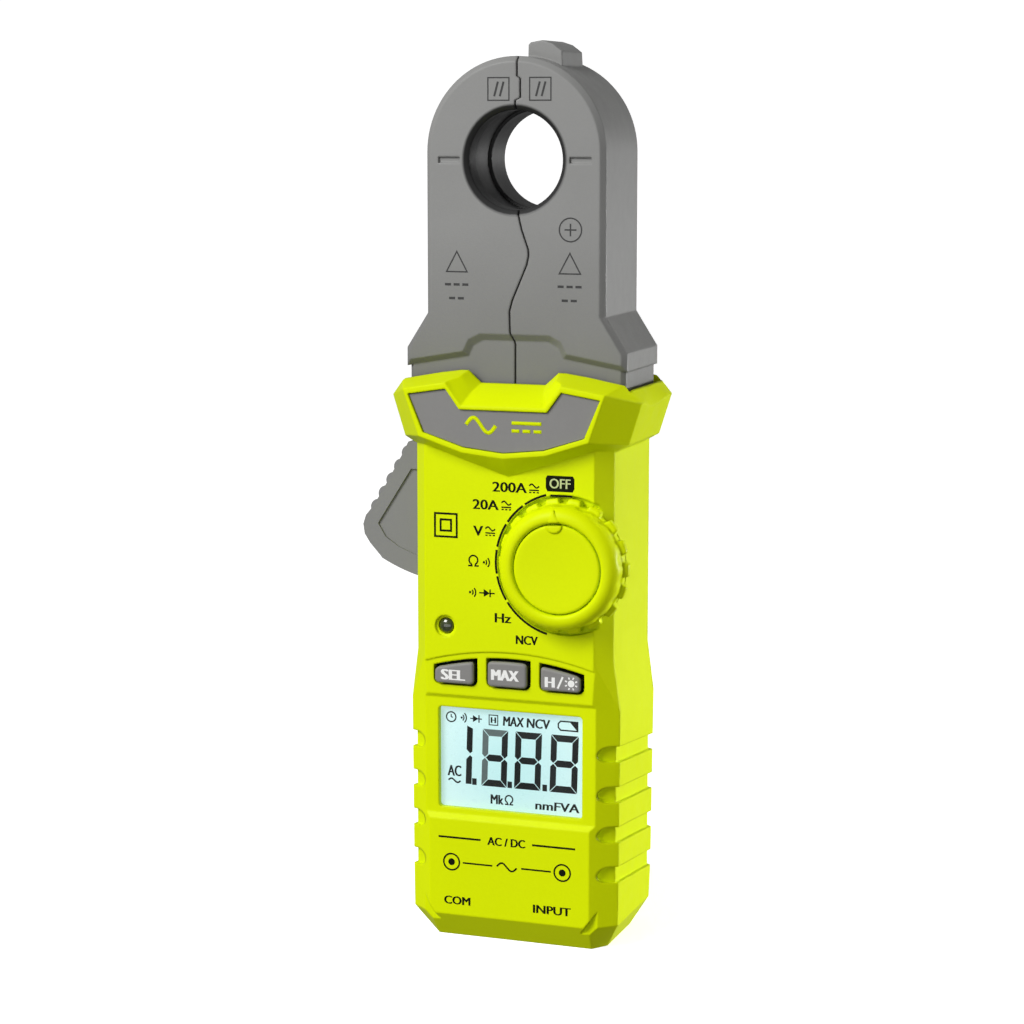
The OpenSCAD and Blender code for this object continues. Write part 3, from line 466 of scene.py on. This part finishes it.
for node_material, node_names in PLAIN:
    for node_name in node_names:
        dress(node_name, node_material)


# ---------------------------------------------------------------- selector

KNOB_X, KNOB_Z = 12.1, 81.5
POINTER = 93.0


def notch(angle, half, soft):
    """1 at the middle of each of the 18 flange notches, 0 between them, with sloping sides."""
    away = abs(angle % 20 - 10)
    return min(1.0, max(0.0, (half + soft - away) / soft))


def build_knob():
    steps = 540
    bm = bmesh.new()
    # radius, distance in front of the middle plane, depth of the flange notches, depth of the scallops
    profile = [
        (13.0, 14.22, 0.0, 0.0), (13.75, 14.22, 0.9, 0.0), (13.9, 14.4, 1.0, 0.0), (13.9, 15.9, 1.0, 0.0),
        (13.75, 16.15, 0.9, 0.0), (13.45, 16.25, 0.6, 0.0), (13.02, 16.3, 0.15, 0.15), (12.95, 16.5, 0.0, 0.28),
        (12.92, 17.2, 0.0, 0.36), (12.88, 17.9, 0.0, 0.30), (12.8, 18.5, 0.0, 0.18), (12.66, 19.0, 0.0, 0.08),
        (12.42, 19.5, 0.0, 0.02), (12.08, 19.95, 0.0, 0.0), (11.66, 20.32, 0.0, 0.0), (11.2, 20.58, 0.0, 0.0),
        (10.75, 20.73, 0.0, 0.0), (10.3, 20.78, 0.0, 0.0), (9.95, 20.74, 0.0, 0.0), (9.66, 20.6, 0.0, 0.0),
        (9.48, 20.38, 0.0, 0.0), (9.40, 20.1, 0.0, 0.0), (9.36, 19.4, 0.0, 0.0),
    ]
    rings = []
    for r, h, flange, scallop in profile:
        ring = []
        for i in range(steps):
            a = 360 * i / steps
            cut = flange * notch(a, 3.2, 1.6)
            grip = scallop * (0.5 + 0.5 * math.cos(math.radians((a - 10) * 18))) ** 1.5
            ring.append((r - cut - grip, -h))
        rings.append(ring)
    lathe(bm, rings, KNOB_X, KNOB_Z, close_centre=False)
    return new_piece("selector_knob_rim", bm, LIME, "selector", smooth=True)


def build_pointer():
    """Thin triangular wedge on the rim, wide at the disc and coming to a point outwards."""
    bm = bmesh.new()
    a = math.radians(POINTER)
    out, side = Vector((math.cos(a), math.sin(a))), Vector((-math.sin(a), math.cos(a)))

    def at(r, s):
        p = out * r + side * s
        return KNOB_X + p.x, KNOB_Z + p.y

    def top(r):
        return -(20.80 - 0.05 * max(0.0, r - 10.6))

    rows = []
    outline = ((9.5, 1.35), (10.0, 1.12), (10.5, 0.88), (11.0, 0.64), (11.5, 0.40), (11.9, 0.20),
               (12.15, 0.06))
    for r, half in outline:
        base = 0.5 if r < 11.2 else 0.9
        rows.append([
            bm.verts.new((at(r, half)[0], top(r) + base, at(r, half)[1])),
            bm.verts.new((at(r, half * 0.92)[0], top(r), at(r, half * 0.92)[1])),
            bm.verts.new((at(r, -half * 0.92)[0], top(r), at(r, -half * 0.92)[1])),
            bm.verts.new((at(r, -half)[0], top(r) + base, at(r, -half)[1])),
        ])
    for a_row, b_row in zip(rows, rows[1:]):
        for k in range(4):
            bm.faces.new((a_row[k], a_row[(k + 1) % 4], b_row[(k + 1) % 4], b_row[k]))
    bm.faces.new(rows[0])
    bm.faces.new(rows[-1][::-1])
    return new_piece("selector_pointer", bm, LIME, "selector")


def build_cap():
    """Gently dished disc with a soft edge, and the half-round tab that the pointer starts from."""
    bm = bmesh.new()
    steps = 180
    profile = [(9.12, 19.3), (9.12, 20.05), (9.04, 20.22), (8.88, 20.32), (8.6, 20.35), (7.5, 20.27),
               (6.0, 20.19), (4.5, 20.13), (3.0, 20.09), (1.5, 20.07), (0.5, 20.065)]
    lathe(bm, [[(r, -h)] * steps for r, h in profile], KNOB_X, KNOB_Z)
    a = math.radians(POINTER)
    out, side = Vector((math.cos(a), math.sin(a))), Vector((-math.sin(a), math.cos(a)))
    rows = []
    for scale, h in ((1.0, 20.2), (1.0, 20.52), (0.93, 20.64), (0.80, 20.68)):
        row = []
        for i in range(19):
            t = math.pi + math.pi * i / 18
            p = out * (8.95 + 1.5 * scale * math.sin(t)) + side * (1.7 * scale * math.cos(t))
            row.append(bm.verts.new((KNOB_X + p.x, -h, KNOB_Z + p.y)))
        rows.append(row)
    for lower, upper in zip(rows, rows[1:]):
        for i in range(19):
            j = (i + 1) % 19
            bm.faces.new((lower[i], lower[j], upper[j], upper[i]))
    bm.faces.new(rows[-1])
    bm.faces.new(rows[0][::-1])
    return new_piece("selector_disc", bm, LIME, "selector", smooth=True)


knob_rim = build_knob()
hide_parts("selector_knob")
knob_pointer = build_pointer()
knob_disc = build_cap()
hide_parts("selector_cap")
for piece in (knob_rim, knob_disc, knob_pointer):
    sharp = piece.modifiers.new("normals", "WEIGHTED_NORMAL")
    sharp.weight = 60


# ---------------------------------------------------------------- indicator lens

def build_lens():
    bm = bmesh.new()
    steps = 64
    profile = [(1.72, 12.9), (1.72, 13.9), (1.66, 14.15), (1.5, 14.42), (1.25, 14.64), (0.95, 14.8),
               (0.6, 14.9), (0.25, 14.94)]
    lathe(bm, [[(r, -h)] * steps for r, h in profile], -13.9, 67.3)
    return new_piece("indicator_lens", bm, LENS, "housing", smooth=True)


lens = build_lens()
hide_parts("indicator_led")


# ---------------------------------------------------------------- keys

KEYS = (
    ("function_button", "function_key", -11.75),
    ("max_button", "max_key", -0.1),
    ("light_button", "light_key", 11.5),
)
KEY_HALF, KEY_LOW, KEY_ARC = 4.3, 55.4, 60.75
KEY_FACE = -15.9


def key_outline(cx, inset):
    """Rounded cap outline whose top follows the arched edge."""
    left, right, low = cx - KEY_HALF + inset, cx + KEY_HALF - inset, KEY_LOW + inset
    corner = max(0.25, 0.9 - inset)
    radius = KEY_ARC - inset

    def top(x):
        return math.sqrt(radius * radius - x * x)

    points = []
    for cx0, a0 in ((left + corner, 180), (right - corner, 270)):
        points += [(cx0 + corner * math.cos(math.radians(a0 + 15 * i)),
                    low + corner + corner * math.sin(math.radians(a0 + 15 * i))) for i in range(7)]
    points += [(right, top(right) - corner * 0.8), (right - corner * 0.12, top(right) - corner * 0.42),
               (right - corner * 0.4, top(right) - corner * 0.12)]
    span = right - left - 2 * corner
    points += [(right - corner - span * i / 8, top(right - corner - span * i / 8)) for i in range(9)]
    points += [(left + corner * 0.4, top(left) - corner * 0.12),
               (left + corner * 0.12, top(left) - corner * 0.42), (left, top(left) - corner * 0.8)]
    return points


def build_key(node, body, cx):
    bm = bmesh.new()
    rows = []
    sections = ((0, 2.8), (0, 0.62), (0.02, 0.5), (0.1, 0.28), (0.24, 0.12), (0.44, 0.03), (0.7, 0))
    for inset, depth in sections:
        rows.append([bm.verts.new((x, KEY_FACE + depth, z)) for x, z in key_outline(cx, inset)])
    count = len(rows[0])
    # Painted shade: the side skirt behind the front rounding (level 0) and the back face get the black
    # material, standing in for the shadowed gap round each key.
    for level, (a, b) in enumerate(zip(rows, rows[1:])):
        for i in range(count):
            j = (i + 1) % count
            bm.faces.new((a[i], a[j], b[j], b[i])).material_index = 1 if level == 0 else 0
    bm.faces.new(rows[-1])
    bm.faces.new(rows[0][::-1]).material_index = 1
    piece = new_piece(body + "_cap", bm, [GREY_KEY, BLACK], body, smooth=True)
    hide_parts(node)
    normals = piece.modifiers.new("normals", "WEIGHTED_NORMAL")
    normals.weight = 70
    return piece


for node_name, body_name, key_x in KEYS:
    build_key(node_name, body_name, key_x)

INK_KEY = (KEY_FACE - 0.035, KEY_FACE + 0.05)
bm = bmesh.new()
add_text(bm, "SEL", -14.4, -9.4, 57.3, 2.2, *INK_KEY, bold=0.2)
new_piece("function_key_legend", bm, LEGEND, "function_key")
bm = bmesh.new()
add_text(bm, "MAX", -3.3, 2.4, 58.0, 2.2, *INK_KEY, bold=0.2)
new_piece("max_key_legend", bm, LEGEND, "max_key")
bm = bmesh.new()
add_text(bm, "H", 8.4, 10.2, 57.3, 2.1, *INK_KEY, bold=0.2)
add_stroke(bm, [(11.0, 56.1), (12.1, 58.6)], 0.42, *INK_KEY)
add_prism(bm, circle(13.9, 57.3, 0.72, 20), *INK_KEY)
for ray in range(8):
    a = math.radians(45 * ray + 22.5)
    ray_ends = [(13.9 + r * math.cos(a), 57.3 + r * math.sin(a)) for r in (0.95, 1.4)]
    add_stroke(bm, ray_ends, 0.3, *INK_KEY)
new_piece("light_key_legend", bm, LEGEND, "light_key")


# ---------------------------------------------------------------- prints on the case

INK = (-15.03, -14.9)
bm = bmesh.new()
for a0, a1 in ((105.5, 125), (127.2, 145.7), (148, 168), (170.5, 189.7), (191.9, 211.8), (214, 255.4)):
    add_stroke(bm, arc(KNOB_X, KNOB_Z, 14.85, a0, a1), 0.46, *INK)
add_stroke(bm, [(9.0, 95.75), (13.7, 95.75)], 0.42, *INK)
LABEL = 2.05


def ac_dc(bm, x, z, width=1.9):
    add_stroke(bm, wave(x, x + width, z + 0.42, 0.75), 0.3, *INK)
    add_stroke(bm, [(x, z - 0.45), (x + width, z - 0.45)], 0.28, *INK)
    for i in range(3):
        dash = x + i * width * 0.38
        add_stroke(bm, [(dash, z - 0.92), (dash + width * 0.22, z - 0.92)], 0.26, *INK)


add_text(bm, "200A", -3.4, 3.9, 97.0, LABEL, *INK)
ac_dc(bm, 4.5, 97.1, 2.1)
add_text(bm, "20A", -7.7, -2.2, 93.2, LABEL, *INK)
ac_dc(bm, -1.5, 93.3, 2.1)
add_text(bm, "V", -7.6, -5.6, 87.7, LABEL, *INK)
ac_dc(bm, -5.0, 87.8, 2.1)
add_stroke(bm, ohm_sign(-7.65, 81.55, 0.95, (1.15, 1.2, 0.35)), 0.32, *INK)
add_prism(bm, circle(-5.35, 81.2, 0.26, 12), *INK)
for r in (0.75, 1.35):
    add_stroke(bm, arc(-5.5, 81.2, r, -42, 42, 6), 0.28, *INK)
# continuity and diode
add_prism(bm, circle(-8.4, 74.8, 0.26, 12), *INK)
for r in (0.75, 1.35):
    add_stroke(bm, arc(-8.5, 74.8, r, -42, 42, 6), 0.28, *INK)
add_stroke(bm, [(-6.4, 74.8), (-5.4, 74.8)], 0.28, *INK)
add_prism(bm, [(-5.4, 75.6), (-5.4, 74.0), (-4.1, 74.8)], *INK)
add_stroke(bm, [(-4.0, 75.6), (-4.0, 74.0)], 0.28, *INK)
add_stroke(bm, [(-4.0, 74.8), (-3.0, 74.8)], 0.28, *INK)
add_text(bm, "Hz", -2.9, 0.5, 69.8, 1.95, *INK)
add_text(bm, "NCV", 1.7, 6.3, 65.5, 1.85, *INK)
# double square for double insulation
for half in (2.4, 1.15):
    square = box_outline(-13.7 - half, -13.7 + half, 88.5 - half, 88.5 + half)
    add_stroke(bm, square, 0.42, *INK, closed=True)
new_piece("dial_print", bm, PRINT, "housing")

bm = bmesh.new()
badge = [(8.4, 96.6), (13.8, 96.6), (14.15, 97.3), (14.15, 99.3), (13.8, 99.85), (8.4, 99.85), (8.05, 99.3),
         (8.05, 97.3)]
add_prism(bm, badge, *INK)
new_piece("off_badge", bm, PRINT, "housing")
bm = bmesh.new()
add_text(bm, "OFF", 8.9, 13.3, 98.25, 2.0, -15.055, -15.0, bold=0.06)
new_piece("off_badge_text", bm, PALE_PRINT, "housing")

# lower label panel: generic marks only
bm = bmesh.new()
add_text(bm, "AC / DC", -4.6, 3.6, 22.3, 1.75, *INK)
for x0, x1 in ((-15.6, -6.2), (5.2, 14.6)):
    add_stroke(bm, [(x0, 22.3), (x1, 22.3)], 0.4, *INK)
for cx in (-12.7, 11.8):
    add_stroke(bm, circle(cx, 17.0, 1.75, 30), 0.34, *INK, closed=True)
    add_prism(bm, circle(cx, 17.0, 0.75, 20), *INK)
add_stroke(bm, [(-10.2, 17.0), (-3.6, 17.0)], 0.34, *INK)
add_stroke(bm, [(2.8, 17.0), (9.3, 17.0)], 0.34, *INK)
add_stroke(bm, wave(-2.6, 1.8, 17.0, 1.6, 20), 0.36, *INK)
add_text(bm, "COM", -14.3, -8.6, 8.7, 1.75, *INK)
add_text(bm, "INPUT", 5.5, 13.6, 8.7, 1.75, *INK)
new_piece("panel_print", bm, PRINT, "housing")

# inlay mark: plain alternating and direct current signs
INLAY_FACE = -18.6 + 0.45
INK_INLAY = (INLAY_FACE - 0.05, INLAY_FACE + 0.05)
bm = bmesh.new()
add_stroke(bm, wave(-8.0, -1.6, 109.9, 3.0, 28), 0.8, *INK_INLAY)
add_stroke(bm, [(1.8, 110.6), (8.2, 110.6)], 0.75, *INK_INLAY)
for i in range(3):
    add_stroke(bm, [(1.8 + 2.35 * i, 109.0), (3.5 + 2.35 * i, 109.0)], 0.7, *INK_INLAY)
new_piece("inlay_mark", bm, LIME, "housing")


# ---------------------------------------------------------------- marks on the jaws

INK_JAW = (-11.625, -11.5)


def jaw_marks(side, square_x, triangle_x, circle_x=None):
    bm = bmesh.new()
    x0, x1 = square_x
    add_stroke(bm, box_outline(x0, x1, 174.9, 179.4), 0.26, *INK_JAW, closed=True)
    mid = (x0 + x1) / 2
    add_stroke(bm, [(mid - 0.9, 175.7), (mid - 0.1, 178.6)], 0.42, *INK_JAW)
    add_stroke(bm, [(mid + 0.3, 175.7), (mid + 1.1, 178.6)], 0.42, *INK_JAW)
    t = triangle_x
    add_stroke(bm, [(t - 2.25, 140.4), (t + 2.25, 140.4), (t, 144.5)], 0.28, *INK_JAW, closed=True)
    for row, z in enumerate((137.8, 135.0)):
        for k in range(3 - row):
            dash = t - 2.6 + 1.9 * k + 0.9 * row
            add_stroke(bm, [(dash, z), (dash + 1.3, z)], 0.5, *INK_JAW)
    if circle_x is not None:
        add_stroke(bm, circle(circle_x, 149.2, 2.35, 36), 0.28, *INK_JAW, closed=True)
        add_stroke(bm, [(circle_x - 1.25, 149.2), (circle_x + 1.25, 149.2)], 0.3, *INK_JAW)
        add_stroke(bm, [(circle_x, 147.95), (circle_x, 149.05)], 0.3, *INK_JAW)
        add_stroke(bm, [(circle_x, 149.35), (circle_x, 150.45)], 0.3, *INK_JAW)
    new_piece(side + "_jaw_marks", bm, MARK, side + "_jaw")


jaw_marks("left", (-5.6, -1.1), -12.4)
jaw_marks("right", (3.3, 7.8), 11.9, 12.0)


# ---------------------------------------------------------------- liquid crystal display

LCD_FACE = -12.7
INK_LCD = (LCD_FACE - 0.03, LCD_FACE + 0.02)
LEAN = 0.03


def leaning(points, z0=33.5):
    return [(x + LEAN * (z - z0), z) for x, z in points]


def digit(bm, x0, x1, z0, z1, faint=""):
    """Seven bars with mitred ends. The bars named in faint are half driven."""
    t, g = 1.42, 0.1
    zm = (z0 + z1) / 2
    h = t / 2
    in0, mid0, in1, mid1 = x0 + t - g, x0 + h - g, x1 - t + g, x1 - h + g
    bars = {
        "a": [(x0 + g, z1), (x1 - g, z1), (x1 - t, z1 - t), (x0 + t, z1 - t)],
        "d": [(x0 + g, z0), (x0 + t, z0 + t), (x1 - t, z0 + t), (x1 - g, z0)],
        "g": [(x0 + h + g, zm), (x0 + t + g, zm + h), (x1 - t - g, zm + h),
              (x1 - h - g, zm), (x1 - t - g, zm - h), (x0 + t + g, zm - h)],
        "f": [(x0, z1 - g), (in0, z1 - t - g), (in0, zm + h + g), (mid0, zm + g), (x0, zm + h)],
        "e": [(x0, z0 + g), (x0, zm - h), (mid0, zm - g), (in0, zm - h - g), (in0, z0 + t + g)],
        "b": [(x1, z1 - g), (x1, zm + h), (mid1, zm + g), (in1, zm + h + g), (in1, z1 - t - g)],
        "c": [(x1, z0 + g), (in1, z0 + t + g), (in1, zm - h - g), (mid1, zm - g), (x1, zm - h)],
    }
    for name, outline in bars.items():
        add_prism(bm, leaning(outline), *INK_LCD, index=1 if name in faint else 0)


bm = bmesh.new()
for half_digit in (
    [(-10.35, 46.0), (-10.35, 40.9), (-9.55, 40.1), (-9.05, 40.5), (-9.05, 45.4)],
    [(-10.35, 33.5), (-10.35, 38.8), (-9.55, 39.7), (-9.05, 39.3), (-9.05, 33.5)],
):
    add_prism(bm, leaning(half_digit), *INK_LCD)
digit(bm, -6.85, -1.25, 33.4, 45.6, faint="aef")
digit(bm, 0.4, 6.2, 33.4, 45.6)
digit(bm, 8.2, 14.2, 33.4, 45.6)
for x in (-8.4, -0.55, 7.15):
    add_prism(bm, box_outline(x - 0.5, x + 0.5, 33.4, 34.8), *INK_LCD)
TOP = 47.6
add_stroke(bm, circle(-13.55, TOP, 1.05, 26), 0.28, *INK_LCD, closed=True)
add_stroke(bm, [(-13.55, TOP + 0.6), (-13.55, TOP), (-13.15, TOP - 0.1)], 0.22, *INK_LCD)
add_prism(bm, circle(-11.2, TOP, 0.24, 10), *INK_LCD)
for r in (0.8, 1.35):
    add_stroke(bm, arc(-11.5, TOP, r, -48, 48, 6), 0.26, *INK_LCD)
add_prism(bm, [(-8.7, TOP + 0.75), (-8.7, TOP - 0.75), (-7.5, TOP)], *INK_LCD)
add_stroke(bm, [(-7.35, TOP + 0.8), (-7.35, TOP - 0.8)], 0.26, *INK_LCD)
add_stroke(bm, [(-9.3, TOP), (-6.7, TOP)], 0.22, *INK_LCD)
add_stroke(bm, box_outline(-5.1, -3.2, TOP - 1.05, TOP + 1.05), 0.2, *INK_LCD, closed=True)
add_text(bm, "H", -4.65, -3.65, TOP, 1.2, *INK_LCD)
add_text(bm, "MAX", -1.9, 2.5, TOP, 2.0, *INK_LCD, slant=0.06)
add_text(bm, "NCV", 3.3, 8.2, TOP, 2.0, *INK_LCD, slant=0.06)
cell = box_outline(10.6, 14.3, TOP - 0.95, TOP + 0.95) + [(10.1, TOP + 0.4), (10.1, TOP - 0.4)]
add_stroke(bm, cell, 0.3, *INK_LCD, closed=True)
add_prism(bm, [(14.2, TOP - 0.9), (14.2, TOP + 0.9), (12.6, TOP + 0.9)], *INK_LCD)
add_text(bm, "AC", -14.3, -11.4, 36.1, 2.3, *INK_LCD)
add_stroke(bm, wave(-14.2, -11.5, 34.0, 0.8), 0.34, *INK_LCD)
add_text(bm, "Mk", -4.7, -2.0, 30.7, 2.0, *INK_LCD)
add_stroke(bm, ohm_sign(-0.7, 30.95, 0.82, (0.9, 1.1, 0.25)), 0.3, *INK_LCD)
add_text(bm, "nmFVA", 5.2, 14.7, 30.3, 1.85, *INK_LCD, slant=0.05)
new_piece("lcd_segments", bm, [SEGMENT, SEGMENT_FAINT], "housing")


# ---------------------------------------------------------------- stage, light and camera

def build_floor():
    """Plain pale floor that curves up into the backdrop."""
    bm = bmesh.new()
    profile = [(-8.0, 0.0), (1.2, 0.0)]
    bend = 0.9
    turns = [math.radians(a) for a in range(6, 91, 6)]
    profile += [(1.2 + bend * math.sin(a), bend - bend * math.cos(a)) for a in turns]
    profile += [(1.2 + bend, 3.2)]
    rows = [[bm.verts.new((x, y, z)) for x in (-8.0, 8.0)] for y, z in profile]
    for a, b in zip(rows, rows[1:]):
        bm.faces.new((a[0], a[1], b[1], b[0]))
    mesh = bpy.data.meshes.new("floor")
    bm.to_mesh(mesh)
    bm.free()
    mesh.polygons.foreach_set("use_smooth", [True] * len(mesh.polygons))
    n = Nodes("pale_floor")
    n.set("Base Color", n.mottled(3, 2.0, (0.86, 0.86, 0.86), (0.90, 0.90, 0.90)))
    n.set("Roughness", n.remap(n.noise(40, 3.0), 0.7, 0.85))
    n.set("Emission Color", n.mottled(2, 1.0, (0.97, 0.97, 0.97), (1.0, 1.0, 1.0)))
    n.set("Emission Strength", 0.75)
    mesh.materials.append(n.mat)
    obj = bpy.data.objects.new("floor", mesh)
    bpy.context.scene.collection.objects.link(obj)
    obj.visible_diffuse = False
    obj.visible_glossy = False


def area_light(name, place, target, size, power, spread=180):
    data = bpy.data.lights.new(name, "AREA")
    data.shape = "RECTANGLE"
    data.size, data.size_y = size
    data.energy = power
    data.spread = math.radians(spread)
    obj = bpy.data.objects.new(name, data)
    bpy.context.scene.collection.objects.link(obj)
    obj.location = place
    obj.rotation_mode = "QUATERNION"
    obj.rotation_quaternion = (Vector(target) - Vector(place)).to_track_quat("-Z", "Y")


build_floor()
CENTRE = (0.0, 0.0, 0.10)
area_light("key", (-0.57, -0.99, 0.90), CENTRE, (0.7, 0.7), 19.2)
area_light("side_right", (0.57, 0.47, 0.02), (0.0, 0.0, -0.05), (0.3, 0.3), 0.66, spread=40)
area_light("floor_bounce", (0.0, -0.55, 0.012), CENTRE, (0.7, 0.2), 0.6)

world = bpy.data.worlds.new("studio")
world.use_nodes = True
world.node_tree.nodes["Background"].inputs["Color"].default_value = (1, 1, 1, 1)
world.node_tree.nodes["Background"].inputs["Strength"].default_value = 0.22
bpy.context.scene.world = world
bpy.context.scene.view_settings.view_transform = "Standard"

camera = bpy.data.cameras.new("camera")
camera.sensor_width = 36.0
camera.lens = 90.92
camera.clip_start, camera.clip_end = 0.01, 20
eye = bpy.data.objects.new("camera", camera)
bpy.context.scene.collection.objects.link(eye)
eye.location = (0.17668, -0.50581, 0.17105)
look = Vector((-0.0046, 0, 0.08954)) - eye.location
eye.rotation_mode = "QUATERNION"
eye.rotation_quaternion = look.to_track_quat("-Z", "Y")
bpy.context.scene.camera = eye
